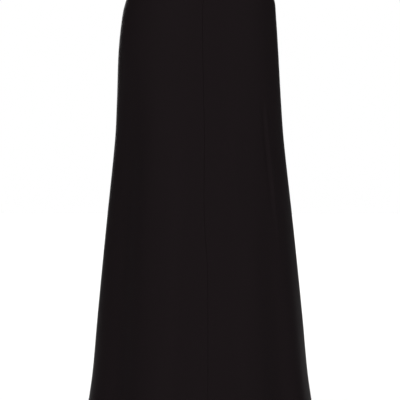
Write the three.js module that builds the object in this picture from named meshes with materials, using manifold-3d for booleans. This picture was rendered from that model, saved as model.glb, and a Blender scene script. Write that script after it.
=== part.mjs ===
// Long A-line skirt, worn and hanging: four cloth panels with seams at the centre front, the centre back and
// both sides, a turned-up hem, a plain waistband, and a concealed zip at the centre back.
// Millimetres, +Z up. The origin is the middle of the waist, level with the band's top edge. The front faces
// -Y, and the wearer's left is +X. "Drop" is the distance below the waist, and "inset" is the distance in
// from the outer face of the cloth. "Bearing" is the angle round from the centre front, in degrees, positive
// towards the wearer's left.
import * as THREE from "three";
import { mergeVertices } from "three/addons/utils/BufferGeometryUtils.js";
import Module from "manifold-3d";

// Cloth
const LENGTH = 1010;
const WALL = 1.2;
const SEAM_GAP = 0.3;
const PANEL_COLUMNS = 16;
// The panels' rows, as distances below their top edges
const PANEL_ROWS = [0, 20, 40, 65, 95, 130, 170, 215, 270, 335, 410, 490, 570, 650, 730, 805, 870, 925];

// Hem, turned up inside the panels
const HEM_TURN = 40;
const HEM_ROOM = 0.4; // between the panel and the turned-up layer
const FOLD_STEPS = 4; // round the hem fold, and round the band's top edge

// Waistband, a strip folded over stiffening
const BAND_DEPTH = 35;
const BAND_WALL = 2.6;

// Concealed zip
const TAPE_TOP = 2;
const TAPE_FOOT = 205;
const TAPE_WALL = 1;
const TAPE_EDGE = 0.8; // from the centre back to the tape's inner edge
const TAPE_WIDTH = 12;
const TAPE_STEP = 12; // the drop over which the tape comes off the band and onto the panel
const TAPE_STEP_START = 1; // below the band

// Zip slider. Its frame has +Y out of the cloth, +Z up along it and its origin on the outer face
const SLIDER_DROP = 9;
const PLATE = { width: 3.4, inner: 0.35, outer: 1.2, top: 4.5, foot: -3.9 };
const WEB = { width: 1, top: 3.8, foot: -3.8 };
const BODY = { width: 6, outer: -4.3, inner: -6.9, top: 4.8, foot: -4.6, neck: 2.2 };
const ARCH = { width: 1.2, half: 3.6, rise: 3.9, holeHalf: 2.1, holeRise: 3 };
const NOTCH = { width: 1.7, past: 1 }; // in the band's ends, for the web, and how far its cut runs past them
const JOIN = 0.2; // how far the slider's pieces run into each other

// Zip pull. Its frame is the slider's, moved to the hinge axis
const AXIS = { out: 2.1, up: -1.3 };
const PULL = { thick: 0.9, bar: 1.9, armIn: 1, window: 5.7, neck: 2.3, wide: 2.9, length: 22 };
const PULL_CURVE = { shoulder: 2, flank: 6 }; // where its sides start to widen, and where they stop
const PULL_LEAN = 2; // degrees, so that the tip rests on the cloth
const ROUND_SIDES = 16;

// Level sections of the outer face: how far it reaches from the axis to each side, the front and the back,
// and how far the hips lean to one side.
const SECTIONS = [
  { drop: 0, side: 122, front: 84, back: 90, lean: 0 },
  { drop: 35, side: 130.5, front: 88.5, back: 97, lean: 0 },
  { drop: 72, side: 146.5, front: 97, back: 109, lean: 0.8 },
  { drop: 108, side: 159.5, front: 103, back: 119, lean: 1.2 },
  { drop: 140, side: 165.2, front: 107, back: 127, lean: -1.2 },
  { drop: 219, side: 172, front: 112, back: 135, lean: -3 },
  { drop: 320, side: 176.4, front: 117, back: 139, lean: -2 },
  { drop: 408, side: 181.2, front: 126, back: 147, lean: -1 },
  { drop: 600, side: 200.8, front: 147, back: 166, lean: -0.3 },
  { drop: 800, side: 220.9, front: 169, back: 187, lean: 0 },
  { drop: 900, side: 230.3, front: 181, back: 198, lean: 0 },
  { drop: 965, side: 239.5, front: 189, back: 206, lean: 0 },
  { drop: 1010, side: 247, front: 195, back: 212, lean: 0 },
];

// Soft folds down the cloth: where each lies, where it starts, how far it stands out (or sinks in, when
// negative) at the hem, and its half-width.
const FOLD_GROWTH = 1.8; // the power by which a fold deepens down to the hem
const FOLDS = [
  { bearing: -158, start: 330, out: -9, half: 13 },
  { bearing: -126, start: 260, out: 8, half: 14 },
  { bearing: -103, start: 360, out: -5, half: 10 },
  { bearing: -52, start: 230, out: -13, half: 11 },
  { bearing: -25, start: 300, out: 6, half: 12 },
  { bearing: -10, start: 420, out: -4, half: 8 },
  { bearing: 21, start: 280, out: 6, half: 13 },
  { bearing: 43, start: 220, out: -11, half: 10 },
  { bearing: 60, start: 300, out: 4, half: 8 },
  { bearing: 108, start: 320, out: -7, half: 11 },
  { bearing: 131, start: 250, out: 7, half: 13 },
  { bearing: 163, start: 380, out: -8, half: 12 },
];

const SIDE_BEARING = 90;
const BACK_BEARING = 180;
const COLUMN_BEARING = SIDE_BEARING / PANEL_COLUMNS;
const panelDrops = PANEL_ROWS.map((below) => BAND_DEPTH + SEAM_GAP + below);
const facetDrops = [0, BAND_DEPTH / 2, BAND_DEPTH, ...panelDrops];

const wasm = await Module();
wasm.setup();

// One measure of the sections at any drop, on a smooth curve through the table's rows.
function measure(name, drop) {
  const last = SECTIONS.length - 1;
  const row = Math.max(1, SECTIONS.findIndex((s) => s.drop >= drop));
  const at = (i) => SECTIONS[Math.min(Math.max(i, 0), last)];
  const slope = (i) => {
    const [a, b] = [at(i - 1), at(i + 1)];
    return (b[name] - a[name]) / (b.drop - a.drop);
  };
  const [lower, upper] = [at(row - 1), at(row)];
  const span = upper.drop - lower.drop;
  const t = (drop - lower.drop) / span;
  const rise = t * t * (3 - 2 * t);
  return (
    lower[name] * (1 - rise) +
    upper[name] * rise +
    slope(row - 1) * span * t * (1 - t) * (1 - t) -
    slope(row) * span * t * t * (1 - t)
  );
}

// How far the folds move the cloth out at a bearing and a drop.
function foldOut(bearing, drop) {
  return FOLDS.reduce((sum, fold) => {
    const t = THREE.MathUtils.clamp((drop - fold.start) / (LENGTH - fold.start), 0, 1);
    const away = THREE.MathUtils.euclideanModulo(bearing - fold.bearing + 180, 360) - 180;
    return sum + fold.out * t ** FOLD_GROWTH * Math.exp(-((away / fold.half) ** 2));
  }, 0);
}

// A point on the outer face of the cloth.
function facePoint(bearing, drop) {
  const angle = THREE.MathUtils.degToRad(bearing);
  const side = measure("side", drop);
  const depth = measure(Math.abs(bearing) > SIDE_BEARING ? "back" : "front", drop);
  const normal = new THREE.Vector3(depth * Math.sin(angle), -side * Math.cos(angle), 0).normalize();
  const point = new THREE.Vector3(side * Math.sin(angle), -depth * Math.cos(angle), -drop);
  point.x += measure("lean", drop);
  return point.addScaledVector(normal, foldOut(bearing, drop));
}

// The level direction along the cloth and its length per degree of bearing.
function facePace(bearing, drop) {
  const step = 0.5;
  return facePoint(bearing + step, drop).sub(facePoint(bearing - step, drop)).divideScalar(2 * step);
}

// A point under the outer face.
function clothPoint(bearing, drop, inset) {
  const along = facePace(bearing, drop).normalize();
  return facePoint(bearing, drop).add(new THREE.Vector3(-along.y, along.x, 0).multiplyScalar(inset));
}

// The same point on the flat facets between the panels' columns and rows, for what lies against them.
function facetPoint(bearing, drop, inset) {
  const column = Math.floor(bearing / COLUMN_BEARING);
  const row = facetDrops.findLastIndex((d) => d <= drop);
  const across = bearing / COLUMN_BEARING - column;
  const down = (drop - facetDrops[row]) / (facetDrops[row + 1] - facetDrops[row]);
  const corner = (i, j) => clothPoint((column + i) * COLUMN_BEARING, facetDrops[row + j], inset);
  return corner(0, 0).lerp(corner(1, 0), across).lerp(corner(0, 1).lerp(corner(1, 1), across), down);
}

// A closed strip of cloth: a box bent along the cloth from one edge to another. A rib gives the strip's outer
// and inner face at one place down its length, each as [inset, drop]. An edge lies at a bearing, moved along
// the cloth by its shift in millimetres.
function clothStrip(ribs, start, end, columns, place = clothPoint) {
  const rows = ribs.length - 1;
  const geometry = new THREE.BoxGeometry(1, rows, 1, columns, rows, 1);
  const position = geometry.getAttribute("position");
  for (let i = 0; i < position.count; i++) {
    const share = position.getX(i) + 1 / 2;
    const rib = ribs[Math.round(rows / 2 - position.getY(i))];
    const [inset, drop] = position.getZ(i) > 0 ? rib.outer : rib.inner;
    const [low, high] = [start, end].map((e) => e.bearing + e.shift / facePace(e.bearing, drop).length());
    const point = place(THREE.MathUtils.lerp(low, high, share), drop, inset);
    position.setXYZ(i, point.x, point.y, point.z);
  }
  geometry.computeVertexNormals();
  return geometry;
}

// A panel's ribs: down the panel, round the hem fold and up the turned-up layer.
function panelRibs() {
  const outerRadius = WALL + HEM_ROOM / 2;
  const innerRadius = HEM_ROOM / 2;
  const foldDrop = LENGTH - outerRadius;
  const turnTop = LENGTH - HEM_TURN;
  const arc = (radius, turn) => [outerRadius - radius * Math.cos(turn), foldDrop + radius * Math.sin(turn)];
  const turns = Array.from({ length: FOLD_STEPS + 1 }, (_, i) => (Math.PI * i) / FOLD_STEPS);
  return [
    ...[...panelDrops, turnTop].map((drop) => ({ outer: [0, drop], inner: [WALL, drop] })),
    ...turns.map((turn) => ({ outer: arc(outerRadius, turn), inner: arc(innerRadius, turn) })),
    { outer: [2 * outerRadius, turnTop], inner: [outerRadius + innerRadius, turnTop] },
  ];
}

// The band's ribs, with its top edge rounded over.
function bandRibs() {
  const radius = BAND_WALL / 2;
  const turns = Array.from({ length: FOLD_STEPS }, (_, i) => (Math.PI / 2) * ((i + 1) / FOLD_STEPS));
  const edge = turns.map((turn) => ({
    outer: [radius * (1 - Math.sin(turn)), radius * (1 - Math.cos(turn))],
    inner: [radius * (1 + Math.sin(turn)), radius * (1 - Math.cos(turn))],
  }));
  const rest = [BAND_DEPTH / 2, BAND_DEPTH].map((drop) => ({ outer: [0, drop], inner: [BAND_WALL, drop] }));
  return [...edge, ...rest];
}

// A zip tape's ribs, which step off the thick band and onto the panel.
function tapeRibs() {
  const stepTop = BAND_DEPTH + TAPE_STEP_START;
  const stepDrops = [0, 1 / 4, 1 / 2, 3 / 4, 1].map((share) => stepTop + TAPE_STEP * share);
  const flatDrops = facetDrops.filter((drop) => drop > TAPE_TOP && drop < TAPE_FOOT);
  const drops = [TAPE_TOP, ...flatDrops, ...stepDrops, TAPE_FOOT].sort((a, b) => a - b);
  return drops.map((drop) => {
    const share = THREE.MathUtils.smoothstep(drop, stepTop, stepTop + TAPE_STEP);
    const inset = THREE.MathUtils.lerp(BAND_WALL, WALL, share) + SEAM_GAP;
    return { outer: [inset, drop], inner: [inset + TAPE_WALL, drop] };
  });
}

// A closed geometry as a manifold-3d solid.
function solid(geometry) {
  const bare = geometry.clone();
  bare.deleteAttribute("normal");
  bare.deleteAttribute("uv");
  const merged = mergeVertices(bare, 1e-4);
  return new wasm.Manifold(
    new wasm.Mesh({
      numProp: 3,
      vertProperties: merged.getAttribute("position").array,
      triVerts: new Uint32Array(merged.index.array),
    }),
  );
}

// A manifold-3d solid as a geometry.
function geometryOf(made) {
  const mesh = made.getMesh();
  const geometry = new THREE.BufferGeometry();
  geometry.setAttribute("position", new THREE.BufferAttribute(mesh.vertProperties, 3));
  geometry.setIndex(new THREE.BufferAttribute(mesh.triVerts, 1));
  geometry.computeVertexNormals();
  return geometry;
}

function boxGeometry(width, [y0, y1], [z0, z1], x = 0) {
  const box = new THREE.BoxGeometry(width, y1 - y0, z1 - z0);
  return box.translate(x, (y0 + y1) / 2, (z0 + z1) / 2);
}

// A plate cut to an (x, z) or (y, z) outline, extruded along the axis left over.
function plateGeometry(shape, across, [low, high]) {
  const options = { depth: high - low, bevelEnabled: false, curveSegments: ROUND_SIDES / 2 };
  const plate = new THREE.ExtrudeGeometry(shape, options).translate(0, 0, low);
  return across === "x"
    ? plate.applyMatrix4(new THREE.Matrix4().set(0, 0, 1, 0, 1, 0, 0, 0, 0, 1, 0, 0, 0, 0, 0, 1))
    : plate.applyMatrix4(new THREE.Matrix4().set(1, 0, 0, 0, 0, 0, -1, 0, 0, 1, 0, 0, 0, 0, 0, 1));
}

// The slider: a plate and an arch outside the cloth, a web through the opening, and a forked body inside.
function sliderGeometry() {
  const plate = boxGeometry(PLATE.width, [PLATE.inner, PLATE.outer], [PLATE.foot, PLATE.top]);
  const web = boxGeometry(WEB.width, [BODY.outer - JOIN, PLATE.inner + JOIN], [WEB.foot, WEB.top]);

  const rise = ARCH.rise - PLATE.inner;
  const arch = new THREE.Shape();
  arch.moveTo(PLATE.inner + JOIN, -ARCH.half);
  arch.bezierCurveTo(PLATE.inner + rise, -ARCH.half, ARCH.rise, -ARCH.holeHalf, ARCH.rise, 0);
  arch.bezierCurveTo(ARCH.rise, ARCH.holeHalf, PLATE.inner + rise, ARCH.half, PLATE.inner + JOIN, ARCH.half);
  const hole = boxGeometry(ARCH.width * 2, [PLATE.outer, ARCH.holeRise], [-ARCH.holeHalf, ARCH.holeHalf]);

  const half = BODY.width / 2;
  const fork = new THREE.Shape();
  fork.moveTo(-BODY.neck, BODY.foot);
  fork.lineTo(BODY.neck, BODY.foot);
  fork.quadraticCurveTo(half, 0, half, BODY.top);
  fork.lineTo(half / 2, BODY.top);
  fork.lineTo(0, BODY.top / 2);
  fork.lineTo(-half / 2, BODY.top);
  fork.lineTo(-half, BODY.top);
  fork.quadraticCurveTo(-half, 0, -BODY.neck, BODY.foot);

  const archSolid = solid(plateGeometry(arch, "x", [-ARCH.width / 2, ARCH.width / 2])).subtract(solid(hole));
  const body = solid(plateGeometry(fork, "y", [-BODY.outer, -BODY.inner]));
  return geometryOf(solid(plate).add(solid(web)).add(archSolid).add(body));
}

// The pull: a drop-shaped tab with a window at its top, whose top bar goes through the slider's arch.
function pullGeometry() {
  const { thick, bar, armIn, window, neck, wide, length } = PULL;
  const { shoulder, flank } = PULL_CURVE;
  const tab = new THREE.Shape();
  tab.moveTo(-bar, 0);
  tab.lineTo(-bar, -window);
  tab.bezierCurveTo(-neck, -window - shoulder, -wide, -length + flank, -wide, -length + wide);
  tab.absarc(0, -length + wide, wide, Math.PI, 2 * Math.PI, false);
  tab.bezierCurveTo(wide, -length + flank, neck, -window - shoulder, bar, -window);
  tab.lineTo(bar, 0);
  const opening = boxGeometry(2 * armIn, [-thick, thick], [-window, thick]);
  const pin = new THREE.CylinderGeometry(thick / 2, thick / 2, 2 * bar, ROUND_SIDES).rotateZ(Math.PI / 2);
  const plate = solid(plateGeometry(tab, "y", [-thick / 2, thick / 2]));
  return geometryOf(plate.subtract(solid(opening)).add(solid(pin)));
}

function crepe(name, color, roughness) {
  return new THREE.MeshStandardMaterial({ name, color, roughness, metalness: 0 });
}

const skirt = new THREE.Group();

function addNode(name, geometry, material, parent = skirt) {
  const mesh = new THREE.Mesh(geometry, material);
  mesh.name = name;
  parent.add(mesh);
  return mesh;
}

const halfGap = SEAM_GAP / 2;
const PANELS = [
  { name: "front_left", from: 0, to: SIDE_BEARING },
  { name: "front_right", from: -SIDE_BEARING, to: 0 },
  { name: "back_left", from: SIDE_BEARING, to: BACK_BEARING },
  { name: "back_right", from: -BACK_BEARING, to: -SIDE_BEARING },
];
for (const { name, from, to } of PANELS) {
  const start = { bearing: from, shift: halfGap };
  const end = { bearing: to, shift: -halfGap };
  addNode(name, clothStrip(panelRibs(), start, end, PANEL_COLUMNS), crepe(name, 0x1a1617, 0.85));
}

const seat = facePoint(BACK_BEARING, SLIDER_DROP);
const below = facePoint(BACK_BEARING, SLIDER_DROP + 1);
const hardware = new THREE.Group();
hardware.position.copy(seat);
hardware.rotation.x = Math.atan2(below.y - seat.y, seat.z - below.z);
hardware.updateMatrixWorld(true);
skirt.add(hardware);

const bandCloth = clothStrip(
  bandRibs(),
  { bearing: -BACK_BEARING, shift: halfGap },
  { bearing: BACK_BEARING, shift: -halfGap },
  4 * PANEL_COLUMNS,
);
const notchBox = boxGeometry(
  NOTCH.width,
  [-BAND_WALL - NOTCH.past, NOTCH.past],
  [WEB.foot - SEAM_GAP, WEB.top + SEAM_GAP],
).applyMatrix4(hardware.matrixWorld);
const band = geometryOf(solid(bandCloth).subtract(solid(notchBox)));
addNode("waistband", band, crepe("waistband", 0x1a1617, 0.85));

const TAPES = [
  { name: "zip_tape_left", bearing: BACK_BEARING, shifts: [-TAPE_EDGE - TAPE_WIDTH, -TAPE_EDGE] },
  { name: "zip_tape_right", bearing: -BACK_BEARING, shifts: [TAPE_EDGE, TAPE_EDGE + TAPE_WIDTH] },
];
for (const { name, bearing, shifts } of TAPES) {
  const [start, end] = shifts.map((shift) => ({ bearing, shift }));
  addNode(name, clothStrip(tapeRibs(), start, end, 2, facetPoint), crepe(name, 0x141314, 0.7));
}

const enamel = { color: 0x111111, roughness: 0.35, metalness: 0.4 };
addNode("zip_slider", sliderGeometry(), new THREE.MeshStandardMaterial(enamel), hardware);
const pull = addNode("zip_pull", pullGeometry(), new THREE.MeshStandardMaterial(enamel), hardware);
pull.position.set(0, AXIS.out, AXIS.up);
pull.rotation.x = THREE.MathUtils.degToRad(-PULL_LEAN);

export default skirt;
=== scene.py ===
"""A long A-line skirt in near-black crepe, worn and hanging, in a plain pale studio.

The cloth is laid on the same level sections as the frame's solids: four panels with pressed-open seams and a
turned-up hem, and a waistband folded over its stiffening. A concealed zip closes the centre back. "Drop" is
the distance below the waist, "inset" the distance in from the outer face of the cloth, and "bearing" the
angle round from the centre front, in degrees, positive towards the wearer's left. Metres throughout.
"""

from __future__ import annotations

import logging
import math
from dataclasses import dataclass
from enum import Enum

import bmesh
import bpy
import numpy as np
from mathutils import Matrix, Vector


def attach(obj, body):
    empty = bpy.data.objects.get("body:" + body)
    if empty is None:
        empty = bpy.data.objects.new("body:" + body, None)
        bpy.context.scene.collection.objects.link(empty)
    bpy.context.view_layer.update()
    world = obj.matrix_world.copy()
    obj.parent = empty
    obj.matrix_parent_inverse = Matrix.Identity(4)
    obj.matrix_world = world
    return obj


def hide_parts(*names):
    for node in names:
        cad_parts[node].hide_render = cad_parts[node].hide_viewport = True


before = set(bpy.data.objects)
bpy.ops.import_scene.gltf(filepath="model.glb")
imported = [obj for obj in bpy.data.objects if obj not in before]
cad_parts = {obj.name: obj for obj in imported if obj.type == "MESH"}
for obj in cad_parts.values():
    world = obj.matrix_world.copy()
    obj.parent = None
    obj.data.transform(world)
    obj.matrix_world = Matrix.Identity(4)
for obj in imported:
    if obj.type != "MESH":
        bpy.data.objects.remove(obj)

LOG = logging.getLogger("skirt")
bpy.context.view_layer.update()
CLOTH_BODY = "skirt"
HEM_DROP = 1.010
BAND_DEPTH = 0.035
CREPE_THICKNESS = 0.0007
PATTERN_MAP = "Cut"

Mesh = bmesh.types.BMesh
Piece = bpy.types.Object
Material = bpy.types.Material
Socket = bpy.types.NodeSocket
Colour = tuple[float, float, float]


# ---------------------------------------------------------------- the cloth's form


@dataclass(frozen=True)
class Section:
    """A level section of the outer face: its drop and its reach to each side, the front and the back."""

    drop: float
    side: float
    front: float
    back: float
    lean: float


@dataclass(frozen=True)
class Fold:
    """A soft fold that deepens from its start to the hem, standing out or, when negative, sinking in."""

    bearing: float
    start: float
    out: float
    half: float


@dataclass(frozen=True)
class Crease:
    """A shorter crease or wave from one place to another, deepest at its peak, half-width in metres."""

    top: tuple[float, float]
    foot: tuple[float, float]
    out: float
    half: float
    peak: float = 0.5


@dataclass(frozen=True)
class SeamDrift:
    """How far the centre-front seam has swung along the cloth at a drop, towards the wearer's left."""

    drop: float
    shift: float


SECTIONS = (
    Section(drop=0.000, side=0.1220, front=0.0840, back=0.0900, lean=0.0),
    Section(drop=0.035, side=0.1305, front=0.0885, back=0.0970, lean=0.0),
    Section(drop=0.072, side=0.1465, front=0.0970, back=0.1090, lean=0.0008),
    Section(drop=0.108, side=0.1595, front=0.1030, back=0.1190, lean=0.0012),
    Section(drop=0.140, side=0.1652, front=0.1070, back=0.1270, lean=-0.0012),
    Section(drop=0.219, side=0.1720, front=0.1120, back=0.1350, lean=-0.0030),
    Section(drop=0.320, side=0.1764, front=0.1170, back=0.1390, lean=-0.0020),
    Section(drop=0.408, side=0.1812, front=0.1260, back=0.1470, lean=-0.0010),
    Section(drop=0.600, side=0.2008, front=0.1470, back=0.1660, lean=-0.0003),
    Section(drop=0.800, side=0.2209, front=0.1690, back=0.1870, lean=0.0),
    Section(drop=0.900, side=0.2303, front=0.1810, back=0.1980, lean=0.0),
    Section(drop=0.965, side=0.2395, front=0.1890, back=0.2060, lean=0.0),
    Section(drop=1.010, side=0.2470, front=0.1950, back=0.2120, lean=0.0),
)
FOLDS = (
    Fold(bearing=-158, start=0.330, out=-0.009, half=13),
    Fold(bearing=-126, start=0.260, out=0.008, half=14),
    Fold(bearing=-103, start=0.360, out=-0.005, half=10),
    Fold(bearing=-52, start=0.230, out=-0.013, half=11),
    Fold(bearing=-25, start=0.300, out=0.006, half=12),
    Fold(bearing=-10, start=0.420, out=-0.004, half=8),
    Fold(bearing=21, start=0.280, out=0.006, half=13),
    Fold(bearing=43, start=0.220, out=-0.011, half=10),
    Fold(bearing=60, start=0.300, out=0.004, half=8),
    Fold(bearing=108, start=0.320, out=-0.007, half=11),
    Fold(bearing=131, start=0.250, out=0.007, half=13),
    Fold(bearing=163, start=0.380, out=-0.008, half=12),
)
CREASES = (
    Crease(top=(-90, 0.22), foot=(-88, 1.12), out=0.0015, half=0.032, peak=0.45),
    Crease(top=(-63, 0.20), foot=(-58, 1.12), out=-0.0135, half=0.043, peak=0.40),
    Crease(top=(-17, 0.27), foot=(-15, 1.15), out=0.006, half=0.032, peak=0.45),
    Crease(top=(17, 0.26), foot=(17, 0.72), out=0.005, half=0.026),
    Crease(top=(15, 0.70), foot=(15, 1.15), out=0.005, half=0.030),
    Crease(top=(50.0, 0.330), foot=(53.0, 0.700), out=0.0024, half=0.0050, peak=0.35),
    Crease(top=(46.5, 0.310), foot=(49.5, 0.640), out=-0.0016, half=0.0060, peak=0.35),
    Crease(top=(88, 0.24), foot=(86, 1.12), out=0.0015, half=0.030, peak=0.50),
    Crease(top=(117, 0.26), foot=(113, 1.12), out=0.005, half=0.034, peak=0.40),
    Crease(top=(129, 0.34), foot=(126, 0.68), out=0.0022, half=0.0055, peak=0.40),
    Crease(top=(148, 0.21), foot=(144, 1.12), out=-0.010, half=0.045, peak=0.42),
    Crease(top=(170, 0.30), foot=(169, 1.15), out=0.005, half=0.028, peak=0.50),
    Crease(top=(-165, 0.25), foot=(-167, 0.80), out=0.005, half=0.030, peak=0.45),
    Crease(top=(-141, 0.23), foot=(-136, 1.14), out=-0.008, half=0.040, peak=0.45),
    Crease(top=(-116, 0.31), foot=(-118, 0.66), out=0.0020, half=0.0060, peak=0.35),
)
DRIFTS = (
    SeamDrift(drop=0.035, shift=0.0),
    SeamDrift(drop=0.107, shift=-0.0020),
    SeamDrift(drop=0.220, shift=0.0),
    SeamDrift(drop=0.410, shift=0.0004),
    SeamDrift(drop=0.540, shift=-0.0022),
    SeamDrift(drop=0.600, shift=-0.0010),
    SeamDrift(drop=0.670, shift=0.0030),
    SeamDrift(drop=0.760, shift=0.0034),
    SeamDrift(drop=0.960, shift=0.0014),
    SeamDrift(drop=1.010, shift=0.0012),
)


def ease(t: np.ndarray | float) -> np.ndarray | float:
    """A smooth rise from 0 to 1 as t goes from 0 to 1."""
    return t * t * (3 - 2 * t)


def ease_between(start: float, end: float, value: float) -> float:
    """A smooth rise from 0 at one value to 1 at another."""
    return ease(min(max((value - start) / (end - start), 0), 1))


def smooth_through(drops: np.ndarray, values: np.ndarray, at: np.ndarray) -> np.ndarray:
    """A smooth curve through a table's rows.

    Args:
        drops: The rows' drops, rising.
        values: The measure at each row.
        at: The drops asked for.

    Returns:
        The measure at each drop asked for.
    """
    last = len(drops) - 1
    before, after = np.maximum(np.arange(last + 1) - 1, 0), np.minimum(np.arange(last + 1) + 1, last)
    slopes = (values[after] - values[before]) / (drops[after] - drops[before])
    row = np.clip(np.searchsorted(drops, at, side="left"), 1, last)
    span = drops[row] - drops[row - 1]
    t = np.clip((at - drops[row - 1]) / span, 0, 1)
    rise = ease(t)
    return (
        values[row - 1] * (1 - rise)
        + values[row] * rise
        + slopes[row - 1] * span * t * (1 - t) ** 2
        - slopes[row] * span * t * t * (1 - t)
    )


def away_from(bearing: np.ndarray, other: np.ndarray | float) -> np.ndarray:
    """The signed angle from one bearing to another, from -180 to 180 degrees."""
    return (bearing - other + 180) % 360 - 180


@dataclass(frozen=True)
class ClothForm:
    """The outer face of the skirt, worked out from its sections, folds and creases."""

    sections: tuple[Section, ...] = SECTIONS
    folds: tuple[Fold, ...] = FOLDS
    creases: tuple[Crease, ...] = CREASES
    drifts: tuple[SeamDrift, ...] = DRIFTS
    hem: float = HEM_DROP
    fold_growth: float = 1.8
    drift_reach: float = 30.0
    probe: float = 0.4

    def measure(self, name: str, drop: np.ndarray) -> np.ndarray:
        """One measure of the sections at each drop."""
        drops = np.array([s.drop for s in self.sections])
        return smooth_through(drops, np.array([getattr(s, name) for s in self.sections]), drop)

    def depth(self, bearing: np.ndarray, drop: np.ndarray) -> np.ndarray:
        """The reach to the front, or to the back where a bearing is behind the side seams."""
        behind = np.abs(away_from(bearing, 0)) > 90
        return np.where(behind, self.measure("back", drop), self.measure("front", drop))

    def pace(self, bearing: np.ndarray, drop: np.ndarray) -> np.ndarray:
        """The length of cloth in a degree of bearing.

        Args:
            bearing: The bearings, in degrees.
            drop: The drops.

        Returns:
            The lengths.
        """
        angle = np.radians(bearing)
        across = self.measure("side", drop) * np.cos(angle)
        return np.radians(1) * np.hypot(across, self.depth(bearing, drop) * np.sin(angle))

    def fold_out(self, bearing: np.ndarray, drop: np.ndarray) -> np.ndarray:
        """How far the folds and creases move the cloth out.

        Args:
            bearing: The bearings, in degrees.
            drop: The drops.

        Returns:
            The distances, negative where the cloth sinks in.
        """
        out = np.zeros_like(bearing)
        for fold in self.folds:
            share = np.clip((drop - fold.start) / (self.hem - fold.start), 0, 1)
            off = away_from(bearing, fold.bearing) / fold.half
            out += fold.out * share**self.fold_growth * np.exp(-(off**2))
        pace = self.pace(bearing, drop)
        for crease in self.creases:
            (top_bearing, top), (foot_bearing, foot) = crease.top, crease.foot
            share = np.clip((drop - top) / (foot - top), 0, 1)
            line = top_bearing + (foot_bearing - top_bearing) * share
            swell = np.sin(math.pi * share ** (math.log(0.5) / math.log(crease.peak))) ** 2
            off = away_from(bearing, line) * pace / crease.half
            out += crease.out * swell * np.exp(-(off**2))
        return out

    def drifted(self, bearing: np.ndarray, drop: np.ndarray) -> np.ndarray:
        """The bearings once the centre-front seam has swung along the cloth.

        Args:
            bearing: The bearings before it swings, in degrees.
            drop: The drops.

        Returns:
            The bearings after it.
        """
        drops = np.array([d.drop for d in self.drifts])
        shift = smooth_through(drops, np.array([d.shift for d in self.drifts]), drop)
        weight = np.exp(-((away_from(bearing, 0) / self.drift_reach) ** 2))
        return bearing + weight * shift / self.pace(bearing, drop)

    def face(self, bearing: np.ndarray, drop: np.ndarray) -> np.ndarray:
        """Points on the outer face.

        Args:
            bearing: The bearings, in degrees.
            drop: The drops.

        Returns:
            The points, one row each.
        """
        moved = self.drifted(bearing, drop)
        angle = np.radians(moved)
        side, depth = self.measure("side", drop), self.depth(moved, drop)
        normal = np.stack([depth * np.sin(angle), -side * np.cos(angle)], axis=1)
        normal /= np.linalg.norm(normal, axis=1)[:, None]
        out = self.fold_out(moved, drop)
        x = side * np.sin(angle) + self.measure("lean", drop) + normal[:, 0] * out
        y = -depth * np.cos(angle) + normal[:, 1] * out
        return np.stack([x, y, -drop], axis=1)

    def place(self, bearing: np.ndarray, drop: np.ndarray, inset: np.ndarray) -> np.ndarray:
        """Points under the outer face.

        Args:
            bearing: The bearings, in degrees.
            drop: The drops.
            inset: How far in from the outer face each point lies, measured level.

        Returns:
            The points, one row each.
        """
        along = self.face(bearing + self.probe, drop) - self.face(bearing - self.probe, drop)
        along /= np.linalg.norm(along, axis=1)[:, None]
        inward = np.stack([-along[:, 1], along[:, 0], np.zeros(len(along))], axis=1)
        return self.face(bearing, drop) + inward * inset[:, None]


# ---------------------------------------------------------------- laying cloth


@dataclass(frozen=True)
class Column:
    """A column of a strip: its share from the first edge to the last, a shift from there, and its depth."""

    share: float
    shift: float = 0.0
    depth: float = 0.0
    turned: bool = False


@dataclass(frozen=True)
class Row:
    """A row of a strip: where its face lies, and whether an edge may be folded under there."""

    inset: float
    drop: float
    folds_under: bool = True


@dataclass(frozen=True)
class Dart:
    """A stitched dart: its place, the way it's pressed, its fold's width and its stitching's groove."""

    bearing: float
    foot: float
    pressed: int
    width: float = 0.010
    depth: float = 0.0006
    half: float = 0.0009
    fade_length: float = 0.02

    def inset(self, form: ClothForm, bearing: np.ndarray, drop: np.ndarray) -> np.ndarray:
        """How far the dart's groove sinks in.

        Args:
            form: The form that the cloth lies on.
            bearing: The bearings, in degrees.
            drop: The drops.

        Returns:
            The distances.
        """
        fade = np.clip((self.foot - drop) / self.fade_length, 0, 1)
        off = away_from(bearing, self.bearing) * form.pace(bearing, drop) / self.half
        return self.depth * fade * np.exp(-(off**2))


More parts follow.
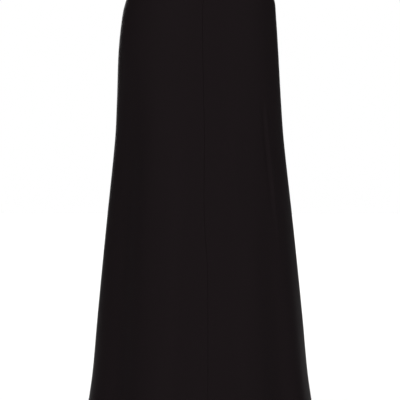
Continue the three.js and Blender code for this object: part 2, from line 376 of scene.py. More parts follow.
@dataclass(frozen=True)
class Strip:
    """A piece of cloth as columns and rows, laid between two bearings of the form.

    The two ends can draw back from each other round one drop, as beside the zip's slider, and the shifts can
    taper to the least share of themselves between two drops, as in a dart's fold.
    """

    form: ClothForm
    start: float
    end: float
    columns: tuple[Column, ...]
    rows: tuple[Row, ...]
    darts: tuple[Dart, ...] = ()
    draw_back: float = 0.0
    draw_drop: float = 0.0
    draw_half: float = 1.0
    taper_top: float = 0.0
    taper_foot: float = 0.0
    taper_least: float = 0.05

    def unders(self) -> np.ndarray:
        """The way to the cloth's wrong side.

        Returns:
            For each row, its (inset, drop).
        """
        path = np.array([(row.inset, row.drop) for row in self.rows])
        along = np.gradient(path, axis=0)
        along /= np.linalg.norm(along, axis=1)[:, None]
        return np.stack([along[:, 1], -along[:, 0]], axis=1)

    def points(self) -> np.ndarray:
        """The strip's points.

        Returns:
            The points, as rows of columns.
        """
        depth = np.array([column.depth for column in self.columns])
        share = np.array([column.share for column in self.columns])
        shift = np.array([column.shift for column in self.columns])
        path = np.array([(row.inset, row.drop) for row in self.rows])
        size = (len(self.rows), len(self.columns))
        places = path[:, None, :] + self.unders()[:, None, :] * depth[None, :, None]
        inset, drop = places[:, :, 0], places[:, :, 1]
        base = np.broadcast_to(self.start + (self.end - self.start) * share, size)
        draw = self.draw_back * np.exp(-(((drop - self.draw_drop) / self.draw_half) ** 2))
        ends = np.where(share <= 0, 1.0, np.where(share >= 1, -1.0, 0.0))
        base, drop, inset = base.ravel(), drop.ravel(), inset.ravel()
        moved = (shift + draw * ends).ravel()
        if self.taper_foot > 0:
            left = (self.taper_foot - drop) / (self.taper_foot - self.taper_top)
            moved = moved * np.clip(left, self.taper_least, 1)
        bearing = base + moved / self.form.pace(base, drop)
        for dart in self.darts:
            inset = inset + dart.inset(self.form, bearing, drop)
        return self.form.place(bearing, drop, inset).reshape(*size, 3)

    def lay(self) -> Mesh:
        """Lays the strip as a grid, with its flat cut as the pattern map, in metres.

        Returns:
            The mesh, right side out.
        """
        across, down = len(self.columns) - 1, len(self.rows) - 1
        points = self.points()
        width, length = self.cut(points)
        mesh = bmesh.new()
        bmesh.ops.create_grid(mesh, x_segments=across, y_segments=down, size=0.5)
        mesh.verts.index_update()
        places = [(round((0.5 - v.co.y) * down), round((v.co.x + 0.5) * across)) for v in mesh.verts]
        for vert, place in zip(mesh.verts, places):
            vert.co = points[place]
        layer = mesh.loops.layers.uv.new(PATTERN_MAP)
        for face in mesh.faces:
            for loop in face.loops:
                place = places[loop.vert.index]
                loop[layer].uv = (width[place], length[place])
        trimmed = [f for f in mesh.faces if self.is_trimmed([places[v.index] for v in f.verts])]
        bmesh.ops.delete(mesh, geom=trimmed, context="FACES")
        return mesh

    def cut(self, points: np.ndarray) -> tuple[np.ndarray, np.ndarray]:
        """Lays the strip's points out flat.

        Args:
            points: The points, as rows of columns.

        Returns:
            How far each lies across the flat cut from its middle, and down it from its top edge.
        """
        width = np.cumsum(np.linalg.norm(np.diff(points, axis=1, prepend=points[:, :1]), axis=2), axis=1)
        length = np.cumsum(np.linalg.norm(np.diff(points, axis=0, prepend=points[:1]), axis=2), axis=0)
        middle = len(self.columns) // 2
        down = np.broadcast_to(length[:, middle : middle + 1], width.shape)
        return width - width[:, -1:] / 2, down

    def is_trimmed(self, places: list[tuple[int, int]]) -> bool:
        """Whether a face lies where the seam's turnings are trimmed away."""
        turned = any(self.columns[column].turned for _, column in places)
        return turned and any(not self.rows[row].folds_under for row, _ in places)

    def flat_size(self) -> tuple[float, float]:
        """The widest and the longest of the flat cut."""
        width, length = self.cut(self.points())
        return float(2 * width.max()), float(length.max())


def shown_piece(name: str, mesh: Mesh, material: Material) -> Piece:
    """Makes an object of a finished mesh.

    Args:
        name: The piece's name.
        mesh: The mesh, which this frees.
        material: The piece's finish.

    Returns:
        The object, at the origin.
    """
    data = bpy.data.meshes.new(name)
    mesh.normal_update()
    mesh.to_mesh(data)
    mesh.free()
    data.materials.append(material)
    data.polygons.foreach_set("use_smooth", [True] * len(data.polygons))
    piece = bpy.data.objects.new(name, data)
    bpy.context.scene.collection.objects.link(piece)
    return piece


def join(mesh: Mesh, part: Mesh) -> None:
    """Joins a part to a mesh.

    Args:
        mesh: The mesh that takes the part.
        part: The part, which this frees.
    """
    data = bpy.data.meshes.new("part")
    part.to_mesh(data)
    part.free()
    mesh.from_mesh(data)
    bpy.data.meshes.remove(data)


def thicken(piece: Piece, thickness: float) -> None:
    """Gives laid cloth its thickness, on the wrong side.

    Args:
        piece: The laid cloth.
        thickness: How thick it is.
    """
    solidify = piece.modifiers.new("Thickness", "SOLIDIFY")
    solidify.thickness = thickness
    solidify.offset = -1
    solidify.use_rim = True


def roll_angles(steps: int) -> list[float]:
    """The angles round a half roll, from its face to its turning."""
    return [math.pi * i / steps for i in range(steps + 1)]


# ---------------------------------------------------------------- finishes


class Shading:
    """A new material: its shader, and the few textures that the finishes are made of."""

    def __init__(self, name: str, constants: dict[str, float | tuple[float, ...]]) -> None:
        """Starts the material.

        Args:
            name: Its name.
            constants: What is the same all over it, by the shader's sockets.
        """
        self.material = bpy.data.materials.new(name)
        self.material.use_nodes = True
        self.nodes = self.material.node_tree.nodes
        self.links = self.material.node_tree.links
        self.shader = self.nodes["Principled BSDF"]
        for socket, value in constants.items():
            self.shader.inputs[socket].default_value = value

    def flat_place(self) -> Socket:
        """Reads the piece's pattern map.

        Returns:
            The place on the flat cut.
        """
        node = self.nodes.new("ShaderNodeUVMap")
        node.uv_map = PATTERN_MAP
        return node.outputs["UV"]

    def solid_place(self) -> Socket:
        """The place in the piece's solid."""
        return self.nodes.new("ShaderNodeTexCoord").outputs["Object"]

    def flecks(self, place: Socket, size: float, detail: float = 2.0) -> Socket:
        """Adds random flecks.

        Args:
            place: The place that they are worked out from.
            size: Their size.
            detail: How many finer sets lie on them.

        Returns:
            How strong they are, from 0 to 1.
        """
        node = self.nodes.new("ShaderNodeTexNoise")
        node.inputs["Scale"].default_value = 1 / size
        node.inputs["Detail"].default_value = detail
        self.links.new(place, node.inputs["Vector"])
        return node.outputs["Fac"]

    def colour(self, amount: Socket, dark: Colour, light: Colour) -> None:
        """Blends the colour between two.

        Args:
            amount: The share of the light one.
            dark: The dark one.
            light: The light one.
        """
        blend = self.nodes.new("ShaderNodeMix")
        blend.data_type = "RGBA"
        blend.inputs["A"].default_value = (*dark, 1)
        blend.inputs["B"].default_value = (*light, 1)
        self.links.new(amount, blend.inputs["Factor"])
        self.links.new(blend.outputs["Result"], self.shader.inputs["Base Color"])

    def roughness(self, amount: Socket, least: float, most: float) -> None:
        """Varies the roughness.

        Args:
            amount: How far it is from the least to the most.
            least: The least.
            most: The most.
        """
        rough = self.nodes.new("ShaderNodeMapRange")
        rough.inputs["To Min"].default_value = least
        rough.inputs["To Max"].default_value = most
        self.links.new(amount, rough.inputs["Value"])
        self.links.new(rough.outputs["Result"], self.shader.inputs["Roughness"])

    def relief(self, *layers: tuple[Socket, float]) -> None:
        """Raises a relief.

        Args:
            layers: The height, from 0 to 1, and the distance that it stands for, of each layer of it.
        """
        under = None
        for height, distance in layers:
            bump = self.nodes.new("ShaderNodeBump")
            bump.inputs["Distance"].default_value = distance
            self.links.new(height, bump.inputs["Height"])
            if under:
                self.links.new(under, bump.inputs["Normal"])
            under = bump.outputs["Normal"]
        self.links.new(under, self.shader.inputs["Normal"])


@dataclass(frozen=True)
class Crepe:
    """A matt near-black crepe with a fine pebbled face."""

    name: str = "crepe"
    dark: Colour = (0.0044, 0.0032, 0.0036)
    light: Colour = (0.0056, 0.0042, 0.0046)
    roughness: float = 0.50
    roughness_spread: float = 0.06
    specular: float = 0.014
    specular_tint: Colour = (1.0, 0.80, 0.86)
    pebble: float = 0.0007
    pebble_height: float = 0.00014
    slub: float = 0.004
    slub_detail: float = 4
    slub_height: float = 0.00010

    def material(self) -> Material:
        """Builds the finish, on the piece's flat cut.

        Returns:
            The material.
        """
        tint = (*self.specular_tint, 1)
        shading = Shading(self.name, {"Specular IOR Level": self.specular, "Specular Tint": tint})
        cut = shading.flat_place()
        slubs = shading.flecks(cut, self.slub, self.slub_detail)
        pebbles = shading.flecks(cut, self.pebble)
        shading.colour(slubs, self.dark, self.light)
        spread = self.roughness_spread
        shading.roughness(pebbles, self.roughness - spread, self.roughness + spread)
        shading.relief((slubs, self.slub_height), (pebbles, self.pebble_height))
        return shading.material


@dataclass(frozen=True)
class Enamel:
    """Black enamel on the zip's metal parts, rubbed a little on its edges."""

    name: str = "zip_enamel"
    colour: Colour = (0.006, 0.006, 0.0065)
    smoothest: float = 0.28
    roughest: float = 0.48
    specular: float = 0.12
    coat: float = 0.04
    wear: float = 0.0015

    def material(self) -> Material:
        """Builds the finish, on the piece's solid.

        Returns:
            The material.
        """
        constants = {
            "Base Color": (*self.colour, 1),
            "Specular IOR Level": self.specular,
            "Coat Weight": self.coat,
        }
        shading = Shading(self.name, constants)
        scuffs = shading.flecks(shading.solid_place(), self.wear)
        shading.roughness(scuffs, self.smoothest, self.roughest)
        return shading.material


@dataclass(frozen=True)
class TapeWeave:
    """A close black weave, as on a zip's tape."""

    name: str = "zip_tape"
    colour: Colour = (0.0052, 0.0050, 0.0054)
    roughness: float = 0.6
    specular: float = 0.1
    yarn: float = 0.0006
    yarn_height: float = 0.00008
    metre_bands: float = math.pi / 10  # the scale at which a wave texture's bands are a metre apart

    def material(self) -> Material:
        """Builds the finish, its yarns running along and across the piece's flat cut.

        Returns:
            The material.
        """
        constants = {
            "Base Color": (*self.colour, 1),
            "Roughness": self.roughness,
            "Specular IOR Level": self.specular,
        }
        shading = Shading(self.name, constants)
        cut = shading.flat_place()
        weave = shading.nodes.new("ShaderNodeMath")
        weave.operation = "MAXIMUM"
        for socket, way in enumerate(("X", "Y")):
            yarns = shading.nodes.new("ShaderNodeTexWave")
            yarns.bands_direction = way
            yarns.inputs["Scale"].default_value = self.metre_bands / self.yarn
            shading.links.new(cut, yarns.inputs["Vector"])
            shading.links.new(yarns.outputs["Fac"], weave.inputs[socket])
        shading.relief((weave.outputs["Value"], self.yarn_height))
        return shading.material


@dataclass(frozen=True)
class SewingThread:
    """Black spun thread, with a little more lustre than the cloth."""

    name: str = "thread"
    dark: Colour = (0.0060, 0.0052, 0.0056)
    light: Colour = (0.0100, 0.0088, 0.0094)
    roughness: float = 0.5
    specular: float = 0.15
    twist: float = 0.0008

    def material(self) -> Material:
        """Builds the finish, on the piece's solid.

        Returns:
            The material.
        """
        shading = Shading(self.name, {"Roughness": self.roughness, "Specular IOR Level": self.specular})
        shading.colour(shading.flecks(shading.solid_place(), self.twist), self.dark, self.light)
        return shading.material


# ---------------------------------------------------------------- the skirt's pieces


class Quarter(Enum):
    """The four panels, each with its CAD node's name and its two bearings."""

    FRONT_LEFT = ("front_left", 0.0, 90.0)
    FRONT_RIGHT = ("front_right", -90.0, 0.0)
    BACK_LEFT = ("back_left", 90.0, 180.0)
    BACK_RIGHT = ("back_right", -180.0, -90.0)


@dataclass(frozen=True)
class Panel:
    """One quarter of the skirt: a seam at each edge, pressed open, and a turned-up hem."""

    form: ClothForm
    quarter: Quarter
    thickness: float = CREPE_THICKNESS
    columns: int = 96
    row_pitch: float = 0.005
    seam_roll: float = 0.00085
    seam_turning: float = 0.012
    turning_columns: int = 4
    roll_steps: int = 8
    band_overlap: float = 0.0002
    top_turning: float = 0.010
    top_rows: int = 3
    tuck: float = 0.001
    tuck_drop: float = 0.0027
    tuck_rows: int = 5
    hem_roll: float = 0.0015
    hem_turn: float = 0.040
    hem_rows: int = 8
    dart_top: float = 0.0385
    dart_lift: float = 0.0001
    dart_fold_roll: float = 0.00004
    dart_roll_steps: int = 4
    dart_columns: int = 6
    dart_shifts: tuple[float, ...] = (-0.0014, -0.0007, -0.0003, 0, 0.0003, 0.0007, 0.0014)
    darts: tuple[Dart, ...] = (
        Dart(bearing=-145, foot=0.155, pressed=-1),
        Dart(bearing=-38, foot=0.104, pressed=1),
        Dart(bearing=38, foot=0.104, pressed=-1),
        Dart(bearing=145, foot=0.155, pressed=1),
    )

    def edge(self, share: float) -> list[Column]:
        """The columns of one seam edge.

        Args:
            share: 0 for the first edge, 1 for the last.

        Returns:
            The columns, from the turning's raw edge to the face.
        """
        way = 1 if share == 0 else -1
        radius = self.seam_roll
        pitch = self.seam_turning / self.turning_columns
        turning = [
            Column(share, way * (radius + pitch * i), 2 * radius, True)
            for i in range(self.turning_columns, 0, -1)
        ]
        roll = [
            Column(
                share,
                way * radius * (1 - math.sin(turn)),
                radius * (1 - math.cos(turn)),
                turn > math.pi / 2,
            )
            for turn in reversed(roll_angles(self.roll_steps))
        ]
        return turning + roll

    def panel_columns(self) -> tuple[Column, ...]:
        """All the columns, closer together at a dart.

        Returns:
            The columns, from one raw edge to the other.
        """
        _, start, end = self.quarter.value
        seams = [(dart.bearing - start) / (end - start) for dart in self.own_darts()]
        pitch = 1 / self.columns
        shares = [i * pitch for i in range(1, self.columns)]
        face = [Column(share) for share in shares if all(abs(share - seam) > pitch for seam in seams)]
        face += [Column(seam, shift) for seam in seams for shift in self.dart_shifts]
        face.sort(key=lambda column: (column.share, column.shift))
        return tuple(self.edge(0) + face + list(reversed(self.edge(1))))

    def panel_rows(self) -> tuple[Row, ...]:
        """All the rows.

        Returns:
            The rows, from the top edge inside the band to the hem's raw edge.
        """
        top = BAND_DEPTH - self.band_overlap
        foot, fold = top + self.tuck_drop, self.form.hem - self.hem_roll
        turnings = [self.top_turning * i / self.top_rows for i in range(self.top_rows, 0, -1)]
        inside = [Row(self.tuck, top - turning, False) for turning in turnings]
        steps = [i / self.tuck_rows for i in range(self.tuck_rows + 1)]
        tuck = [Row(self.tuck * (1 - ease(step)), top + self.tuck_drop * step, step == 1) for step in steps]
        count = math.ceil((fold - foot) / self.row_pitch)
        drops = [foot + (fold - foot) * i / count for i in range(1, count + 1)]
        face = [Row(0, drop, drop < fold - self.row_pitch / 2) for drop in drops]
        radius = self.hem_roll
        roll = [
            Row(radius * (1 - math.cos(turn)), fold + radius * math.sin(turn), False)
            for turn in roll_angles(self.roll_steps)[1:]
        ]
        rise = (self.hem_turn - radius) / self.hem_rows
        turned = [Row(2 * radius, fold - rise * i, False) for i in range(1, self.hem_rows + 1)]
        return tuple(inside + tuck + face + roll + turned)

    def own_darts(self) -> list[Dart]:
        """The darts that lie on this panel."""
        _, start, end = self.quarter.value
        return [dart for dart in self.darts if start < dart.bearing < end]

    def strip(self) -> Strip:
        """The panel's cloth."""
        _, start, end = self.quarter.value
        return Strip(self.form, start, end, self.panel_columns(), self.panel_rows(), self.darts)

    def dart_fold(self, dart: Dart) -> Strip:
        """The doubled cloth of a dart, pressed flat on the panel's wrong side, its right sides together.

        Args:
            dart: The dart.

        Returns:
            The strip, from the dart's stitching out to its fold and back.
        """
        roll, side = self.dart_fold_roll, dart.pressed
        middle = 2 * self.thickness + self.dart_lift + roll
        shifts = [side * dart.width * i / self.dart_columns for i in range(self.dart_columns)]
        going = [Column(0, shift, middle + side * roll) for shift in shifts]
        turning = [
            Column(0, side * (dart.width + roll * math.sin(turn)), middle + side * roll * math.cos(turn))
            for turn in roll_angles(self.dart_roll_steps)
        ]
        coming = [Column(0, shift, middle - side * roll) for shift in reversed(shifts)]
        top, foot = self.dart_top, dart.foot
        count = math.ceil((foot - top) / self.row_pitch)
        rows = tuple(Row(0, top + (foot - top) * i / count) for i in range(count + 1))
        columns = tuple(going + turning + coming)
        return Strip(
            self.form, dart.bearing, dart.bearing, columns, rows, (dart,), taper_top=top, taper_foot=foot
        )

    def build(self, material: Material) -> Piece:
        """Lays the panel and its darts' folds, in its CAD solid's place.

        Args:
            material: The crepe.

        Returns:
            The panel.
        """
        node = self.quarter.value[0]
        strip = self.strip()
        mesh = strip.lay()
        for dart in self.own_darts():
            join(mesh, self.dart_fold(dart).lay())
        area = sum(face.calc_area() for face in mesh.faces)
        piece = shown_piece(f"{node}_cloth", mesh, material)
        thicken(piece, self.thickness)
        width, length = strip.flat_size()
        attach(piece, CLOTH_BODY)
        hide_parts(node)
        LOG.info("%s: cut %.3f x %.3f m, %.4f m2", piece.name, width, length, area)
        return piece


@dataclass(frozen=True)
class Waistband:
    """A straight band folded over at the waist, its ends meeting at the centre back."""

    form: ClothForm
    thickness: float = CREPE_THICKNESS
    depth: float = BAND_DEPTH
    wall: float = 0.0026
    inner_foot: float = 0.038
    edge_roll: float = 0.0006
    columns: int = 288
    end_half_gap: float = 0.00002
    end_roll: float = 0.00085
    end_steps: int = 4
    edge_steps: int = 6
    roll_steps: int = 8
    face_rows: int = 10
    slider_drop: float = 0.009
    draw_back: float = 0.0006
    draw_half: float = 0.005

    def band_rows(self) -> tuple[Row, ...]:
        """The rows of both layers.

        Returns:
            The rows, up the inner layer, over the top and down the outer layer to its turned-in edge.
        """
        edge, radius = self.edge_roll, self.wall / 2
        foot = self.depth - edge
        turn_in = [
            Row(edge + edge * math.cos(turn), foot + edge * math.sin(turn))
            for turn in roll_angles(self.edge_steps)
        ]
        shares = [i / self.face_rows for i in range(1, self.face_rows + 1)]
        outer = [Row(0, foot + (radius - foot) * share) for share in shares]
        over = [
            Row(radius * (1 - math.cos(turn)), radius * (1 - math.sin(turn)))
            for turn in roll_angles(self.roll_steps)[1:]
        ]
        inner = [Row(self.wall, radius + (self.inner_foot - radius) * share) for share in shares]
        return tuple(reversed(turn_in + outer + over + inner))

    def band_columns(self) -> tuple[Column, ...]:
        """The columns.

        Returns:
            The columns, from one rounded end to the other.
        """
        radius = self.end_roll
        turns = [math.pi / 2 * i / self.end_steps for i in range(self.end_steps, -1, -1)]
        first = [
            Column(0, self.end_half_gap + radius * (1 - math.sin(turn)), radius * (1 - math.cos(turn)))
            for turn in turns
        ]
        face = [Column(i / self.columns) for i in range(1, self.columns)]
        last = [Column(1, -column.shift, column.depth) for column in reversed(first)]
        return tuple(first + face + last)

    def build(self, material: Material) -> Piece:
        """Lays the band, in its CAD solid's place.

        Args:
            material: The crepe.

        Returns:
            The band.
        """
        strip = Strip(
            self.form,
            -180,
            180,
            self.band_columns(),
            self.band_rows(),
            draw_back=self.draw_back,
            draw_drop=self.slider_drop,
            draw_half=self.draw_half,
        )
        mesh = strip.lay()
        area = sum(face.calc_area() for face in mesh.faces)
        piece = shown_piece("waistband_cloth", mesh, material)
        thicken(piece, self.thickness)
        width, length = strip.flat_size()
        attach(piece, CLOTH_BODY)
        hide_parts("waistband")
        LOG.info("%s: cut %.3f x %.3f m, %.4f m2", piece.name, width, length, area)
        return piece


# ---------------------------------------------------------------- sewing


@dataclass(frozen=True)
class StitchEnd:
    """One end of a stitch: its bearing, a shift along the cloth from there, its drop and its inset."""

    bearing: float
    shift: float
    drop: float
    inset: float


Stitch = tuple[StitchEnd, StitchEnd]


@dataclass(frozen=True)
class Sewing:
    """Stitches laid on the cloth, each a short length of thread pulled in at its ends."""

    form: ClothForm
    radius: float = 0.00015
    batch: int = 48

    def points(self, ends: list[StitchEnd]) -> list[Vector]:
        """The places of the stitches' ends.

        Args:
            ends: The ends.

        Returns:
            Their places, in the same order.
        """
        table = np.array([(end.bearing, end.shift, end.drop, end.inset) for end in ends])
        base, shift, drop, inset = table.T
        bearing = base + shift / self.form.pace(base, drop)
        return [Vector(point) for point in self.form.place(bearing, drop, inset)]

    def sew(self, mesh: Mesh, pairs: list[Stitch]) -> None:
        """Adds a stitch between each pair of ends, a batch at a time.

        Args:
            mesh: The mesh that takes the stitches.
            pairs: The two ends of each stitch.
        """
        firsts = self.points([first for first, _ in pairs])
        lasts = self.points([last for _, last in pairs])
        ends = list(zip(firsts, lasts))
        for start in range(0, len(ends), self.batch):
            few = bmesh.new()
            for first, last in ends[start : start + self.batch]:
                way = last - first
                turn = way.to_track_quat("Z", "Y").to_matrix().to_4x4()
                size = Matrix.Diagonal((self.radius, self.radius, way.length / 2 + self.radius, 1))
                place = Matrix.Translation((first + last) / 2) @ turn @ size
                bmesh.ops.create_icosphere(few, subdivisions=1, radius=1, matrix=place)
            join(mesh, few)


@dataclass(frozen=True)
class PanelSewing:
    """The overlocked raw edges of one panel, and the blind stitches that hold its hem up."""

    panel: Panel
    pitch: float = 0.0025
    reach: float = 0.004
    lift: float = 0.00012
    hem_stitch_pitch: float = 0.008
    hem_stitch_width: float = 0.0022
    hem_stitch_below: float = 0.0006
    hem_stitch_above: float = 0.0012
    hem_clear: float = 0.001
    seam_clear: float = 0.002
    edge_top: float = 0.040
    zip_foot: float = 0.208

    def zigzag(self, first: float, last: float) -> list[tuple[float, float, bool]]:
        """The steps of a zigzag.

        Args:
            first: Where it starts.
            last: Where it ends.

        Returns:
            Where each thread starts and ends, and whether it runs in from the raw edge.
        """
        count = round((last - first) / (self.pitch / 2))
        step = (last - first) / count
        return [(first + step * i, first + step * (i + 1), i % 2 == 0) for i in range(count)]

    def seam_edge(self, bearing: float, way: int) -> list[Stitch]:
        """The overlocking of one seam turning.

        Args:
            bearing: The seam's bearing.
            way: 1 if the panel lies to the larger bearings, -1 if to the smaller.

        Returns:
            The threads' ends.
        """
        panel = self.panel
        raw = panel.seam_roll + panel.seam_turning
        inset = 2 * panel.seam_roll + self.lift
        top = self.zip_foot if abs(bearing) == 180 else self.edge_top
        foot = panel.form.hem - panel.hem_turn - self.hem_clear
        pairs = []
        for first, last, inwards in self.zigzag(top, foot):
            near, far = (raw, raw - self.reach) if inwards else (raw - self.reach, raw)
            near_end = StitchEnd(bearing, way * near, first, inset)
            pairs.append((near_end, StitchEnd(bearing, way * far, last, inset)))
        return pairs

    def hem_edge(self) -> list[Stitch]:
        """The overlocking of the hem's raw edge, and the blind stitches along it.

        Returns:
            The threads' ends.
        """
        panel = self.panel
        _, start, end = panel.quarter.value
        middle = (start + end) / 2
        edge = panel.form.hem - panel.hem_turn
        inset, cloth = 2 * panel.hem_roll + self.lift, panel.thickness + self.lift
        pace = float(panel.form.pace(np.array([middle]), np.array([edge]))[0])
        half = (end - start) / 2 * pace - self.seam_clear
        pairs = []
        for first, last, inwards in self.zigzag(-half, half):
            near, far = (edge, edge + self.reach) if inwards else (edge + self.reach, edge)
            near_end = StitchEnd(middle + first / pace, 0, near, inset)
            pairs.append((near_end, StitchEnd(middle + last / pace, 0, far, inset)))
        count = round(2 * half / self.hem_stitch_pitch)
        for i in range(count):
            at = middle + (-half + (i + 0.5) * 2 * half / count) / pace
            low = StitchEnd(at, -self.hem_stitch_width / 2, edge + self.hem_stitch_below, inset)
            high = StitchEnd(at, self.hem_stitch_width / 2, edge - self.hem_stitch_above, cloth)
            pairs.append((low, high))
        return pairs

    def build(self, material: Material) -> Piece:
        """Sews the panel's edges and its hem.

        Args:
            material: The thread.

        Returns:
            The stitches, joined.
        """
        node, start, end = self.panel.quarter.value
        mesh = bmesh.new()
        pairs = self.seam_edge(start, 1) + self.seam_edge(end, -1) + self.hem_edge()
        Sewing(self.panel.form).sew(mesh, pairs)
        piece = shown_piece(f"{node}_stitches", mesh, material)
        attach(piece, CLOTH_BODY)
        LOG.info("%s: %d stitches", piece.name, len(pairs))
        return piece


# ---------------------------------------------------------------- the zip


class Side(Enum):
    """The zip's two sides, each with its name, its panel and its way from the centre back."""

    LEFT = ("left", "back_left", -1)
    RIGHT = ("right", "back_right", 1)


@dataclass(frozen=True)
class Zip:
    """A concealed zip, closed: its tapes, its coil of teeth, its stops and its stitching."""

    form: ClothForm
    thickness: float = 0.0005
    tape_edge: float = 0.0008
    tape_width: float = 0.012
    tape_top: float = 0.002
    tape_foot: float = 0.205
    tape_columns: int = 12
    tape_rows: int = 82
    band_inset: float = 0.0029
    panel_inset: float = 0.0018
    step_top: float = 0.0386
    step_foot: float = 0.0500
    tooth_pitch: float = 0.0012
    tooth_length: float = 0.0022
    tooth_width: float = 0.00048
    tooth_height: float = 0.0007
    tooth_bevel: float = 0.00016
    tooth_lift: float = 0.00003
    teeth_top: float = 0.0048
    teeth_foot: float = 0.1970
    closed_reach: float = -0.0004
    open_reach: float = 0.0007
    closing_top: float = 0.0135
    closing_foot: float = 0.0165
    stop_height: float = 0.004
    stop_width: float = 0.0042
    stop_gap: float = 0.0004
    stop_rise: float = 0.0002
    top_stop_height: float = 0.0011
    stitch_line: float = 0.0045
    stitch_pitch: float = 0.0025
    stitch_share: float = 0.76
    stitch_lift: float = 0.0001
    stitch_top: float = 0.004
    stitch_foot: float = 0.202
    slope_step: float = 0.001

    def tape_inset(self, drop: float) -> float:
        """How far in the tape's outer face lies: behind the band, then behind the seam's turnings."""
        share = ease_between(self.step_top, self.step_foot, drop)
        return self.band_inset + (self.panel_inset - self.band_inset) * share

    def build_tape(self, side: Side, material: Material) -> Piece:
        """Lays one tape, in its CAD solid's place.

        Args:
            side: The tape's side.
            material: The weave.

        Returns:
            The tape.
        """
        name, panel, way = side.value
        pitch = self.tape_width / self.tape_columns
        shifts = sorted(way * (self.tape_edge + pitch * i) for i in range(self.tape_columns + 1))
        columns = tuple(Column(0, shift) for shift in shifts)
        step = (self.tape_foot - self.tape_top) / self.tape_rows
        drops = [self.tape_top + step * i for i in range(self.tape_rows + 1)]
        rows = tuple(Row(self.tape_inset(drop), drop) for drop in drops)
        strip = Strip(self.form, 180, 180, columns, rows)
        piece = shown_piece(f"zip_tape_{name}_cloth", strip.lay(), material)
        thicken(piece, self.thickness)
        width, length = strip.flat_size()
        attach(piece, CLOTH_BODY)
        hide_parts(f"zip_tape_{name}")
        LOG.info("%s: cut %.4f x %.4f m", piece.name, width, length)
        return piece

    def block(self, mesh: Mesh, across: float, drop: float, size: Vector) -> None:
        """Adds a block on the inner face of the tapes.

        Args:
            mesh: The mesh that takes the block.
            across: How far its middle lies from the centre back, towards larger bearings.
            drop: The drop of its middle.
            size: Its size across, up and in.
        """
        inset = self.tape_inset(drop) + self.thickness + self.tooth_lift + size.z / 2
        drops = np.array([drop, drop + self.slope_step])
        middle, below = self.form.place(np.full(2, 180.0), drops, np.full(2, inset))
        up = Vector(middle - below).normalized()
        side = Vector((-1, 0, 0))
        turn = Matrix((side, up, side.cross(up))).transposed().to_4x4()
        place = Matrix.Translation(Vector(middle) + side * across) @ turn @ Matrix.Diagonal((*size, 1))
        bmesh.ops.create_cube(mesh, size=1, matrix=place)

    def soften(self, mesh: Mesh) -> None:
        """Rounds every edge of the blocks.

        Args:
            mesh: The mesh of the blocks.
        """
        bmesh.ops.bevel(
            mesh,
            geom=mesh.edges[:],
            offset=self.tooth_bevel,
            affect="EDGES",
            segments=1,
            profile=0.5,
            material=-1,
        )

    def build_teeth(self, side: Side, material: Material) -> Piece:
        """Makes one side's teeth, which cross the middle below the slider and part above it.

        Args:
            side: The teeth's side.
            material: The enamel.

        Returns:
            The teeth, joined.
        """
        name, _, way = side.value
        mesh = bmesh.new()
        first = self.teeth_top + (self.tooth_pitch / 2 if way > 0 else 0)
        count = math.floor((self.teeth_foot - first) / self.tooth_pitch) + 1
        size = Vector((self.tooth_length, self.tooth_width, self.tooth_height))
        for i in range(count):
            drop = first + self.tooth_pitch * i
            closed = ease_between(self.closing_top, self.closing_foot, drop)
            reach = self.open_reach + (self.closed_reach - self.open_reach) * closed
            self.block(mesh, way * (reach + self.tooth_length / 2), drop, size)
        self.soften(mesh)
        piece = shown_piece(f"zip_teeth_{name}", mesh, material)
        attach(piece, CLOTH_BODY)
        LOG.info("%s: %d teeth", piece.name, count)
        return piece

    def build_stops(self, material: Material) -> Piece:
        """Makes the stop across both tapes at the foot, and one on each tape at the top.

        Args:
            material: The enamel.

        Returns:
            The stops, joined.
        """
        mesh = bmesh.new()
        foot = self.teeth_foot + self.stop_height / 2 + self.stop_gap
        foot_size = Vector((self.stop_width, self.stop_height, self.tooth_height + self.stop_rise))
        self.block(mesh, 0, foot, foot_size)
        top_size = Vector((self.tooth_length, self.top_stop_height, self.tooth_height))
        for way in (-1, 1):
            across = way * (self.open_reach + self.tooth_length / 2)
            self.block(mesh, across, self.teeth_top - self.tooth_pitch, top_size)
        self.soften(mesh)
        piece = shown_piece("zip_stops", mesh, material)
        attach(piece, CLOTH_BODY)
        LOG.info("%s: one at the foot, two at the top", piece.name)
        return piece

    def build_stitching(self, material: Material) -> Piece:
        """Sews both tapes to the seam's turnings and the band.

        Args:
            material: The thread.

        Returns:
            The stitches, joined.
        """
        count = round((self.stitch_foot - self.stitch_top) / self.stitch_pitch)
        half = self.stitch_pitch * self.stitch_share / 2
        pairs = []
        for way in (-1, 1):
            for i in range(count):
                middle = self.stitch_top + (i + 0.5) * self.stitch_pitch
                pairs.append((self.stitch_end(way, middle - half), self.stitch_end(way, middle + half)))
        mesh = bmesh.new()
        Sewing(self.form).sew(mesh, pairs)
        piece = shown_piece("zip_stitches", mesh, material)
        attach(piece, CLOTH_BODY)
        LOG.info("%s: %d stitches", piece.name, len(pairs))
        return piece

    def stitch_end(self, way: int, drop: float) -> StitchEnd:
        """One end of a stitch on the tape's inner face, on the side that way names."""
        inset = self.tape_inset(drop) + self.thickness + self.stitch_lift
        return StitchEnd(180, way * self.stitch_line, drop, inset)


# ---------------------------------------------------------------- the studio


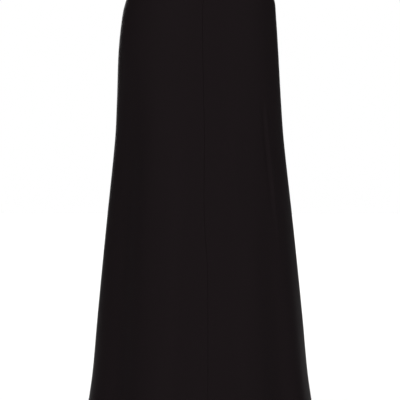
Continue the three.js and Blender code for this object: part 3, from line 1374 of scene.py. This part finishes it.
@dataclass(frozen=True)
class SoftLight:
    """A broad, far-off soft light: where it stands, how wide it looks and how strong it is."""

    name: str
    azimuth: float
    elevation: float
    spread: float
    strength: float

    def build(self) -> Piece:
        """Hangs the light.

        Returns:
            The light.
        """
        data = bpy.data.lights.new(self.name, "SUN")
        data.energy = self.strength
        data.angle = math.radians(self.spread)
        light = bpy.data.objects.new(self.name, data)
        azimuth, elevation = math.radians(self.azimuth), math.radians(self.elevation)
        level = Vector((math.sin(azimuth), -math.cos(azimuth), 0)) * math.cos(elevation)
        towards = level + Vector((0, 0, math.sin(elevation)))
        light.rotation_mode = "QUATERNION"
        light.rotation_quaternion = towards.to_track_quat("Z", "Y")
        bpy.context.scene.collection.objects.link(light)
        return light


@dataclass(frozen=True)
class Studio:
    """A plain pale floor, a white surround, soft lights and the camera."""

    floor_below_hem: float = 0.025
    floor_radius: float = 60.0
    floor_segments: int = 96
    floor_colour: Colour = (0.82, 0.82, 0.82)
    floor_roughness: float = 0.9
    floor_specular: float = 0.1
    surround: float = 0.08
    camera_azimuth: float = -4.5
    camera_distance: float = 4.0
    camera_height: float = -0.5375
    view_width: float = 0.860
    sensor_width: float = 36
    view_end: float = 200
    lights: tuple[SoftLight, ...] = (
        SoftLight("left", azimuth=-30, elevation=15, spread=45, strength=2.2),
        SoftLight("right", azimuth=50, elevation=15, spread=45, strength=1.8),
        SoftLight("front", azimuth=15, elevation=15, spread=45, strength=0.9),
        SoftLight("side", azimuth=-66, elevation=15, spread=45, strength=0.7),
        SoftLight("back", azimuth=180, elevation=18, spread=50, strength=2.0),
        SoftLight("top", azimuth=180, elevation=84, spread=70, strength=1.9),
    )

    def build_floor(self) -> Piece:
        """Lays the floor.

        Returns:
            The floor.
        """
        mesh = bmesh.new()
        place = Matrix.Translation((0, 0, -HEM_DROP - self.floor_below_hem))
        bmesh.ops.create_circle(
            mesh, cap_ends=True, segments=self.floor_segments, radius=self.floor_radius, matrix=place
        )
        constants = {
            "Base Color": (*self.floor_colour, 1),
            "Roughness": self.floor_roughness,
            "Specular IOR Level": self.floor_specular,
        }
        floor = shown_piece("floor", mesh, Shading("floor", constants).material)
        return floor

    def build_surround(self) -> None:
        """Sets the white surround, which lights the skirt less than it shows."""
        world = bpy.data.worlds.new("surround")
        world.use_nodes = True
        nodes, links = world.node_tree.nodes, world.node_tree.links
        path = nodes.new("ShaderNodeLightPath")
        strength = nodes.new("ShaderNodeMapRange")
        strength.inputs["To Min"].default_value = self.surround
        strength.inputs["To Max"].default_value = 1.0
        background = nodes["Background"]
        background.inputs["Color"].default_value = (1, 1, 1, 1)
        links.new(path.outputs["Is Camera Ray"], strength.inputs["Value"])
        links.new(strength.outputs["Result"], background.inputs["Strength"])
        bpy.context.scene.world = world

    def build_camera(self) -> Piece:
        """Stands the camera.

        Returns:
            The camera.
        """
        data = bpy.data.cameras.new("camera")
        data.sensor_width = self.sensor_width
        data.lens = data.sensor_width * self.camera_distance / self.view_width
        data.clip_end = self.view_end
        camera = bpy.data.objects.new("camera", data)
        azimuth = math.radians(self.camera_azimuth)
        back = Vector((math.sin(azimuth), -math.cos(azimuth), 0))
        camera.location = back * self.camera_distance + Vector((0, 0, self.camera_height))
        camera.rotation_mode = "QUATERNION"
        camera.rotation_quaternion = back.to_track_quat("Z", "Y")
        bpy.context.scene.collection.objects.link(camera)
        bpy.context.scene.camera = camera
        return camera

    def build(self) -> None:
        """Sets the whole studio, and shows colours as they are."""
        self.build_camera()
        self.build_floor()
        self.build_surround()
        for light in self.lights:
            light.build()
        settings = bpy.context.scene.view_settings
        settings.view_transform = "Standard"
        settings.look = "None"
        settings.exposure = 0
        settings.gamma = 1


# ---------------------------------------------------------------- making it


def main() -> None:
    """Builds the studio and the skirt, piece by piece."""
    logging.basicConfig(level=logging.INFO, format="%(name)s: %(message)s")
    form = ClothForm()
    Studio().build()
    crepe = Crepe().material()
    thread = SewingThread().material()
    Waistband(form).build(crepe)
    for quarter in Quarter:
        panel = Panel(form, quarter)
        panel.build(crepe)
        PanelSewing(panel).build(thread)
    enamel = Enamel().material()
    tape = TapeWeave().material()
    closure = Zip(form)
    for side in Side:
        closure.build_tape(side, tape)
        closure.build_teeth(side, enamel)
    closure.build_stops(enamel)
    closure.build_stitching(thread)
    for name in ("zip_slider", "zip_pull"):
        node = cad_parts[name]
        node.data.materials.clear()
        node.data.materials.append(enamel)
        LOG.info("%s: enamelled", name)


if __name__ == "__main__":
    main()
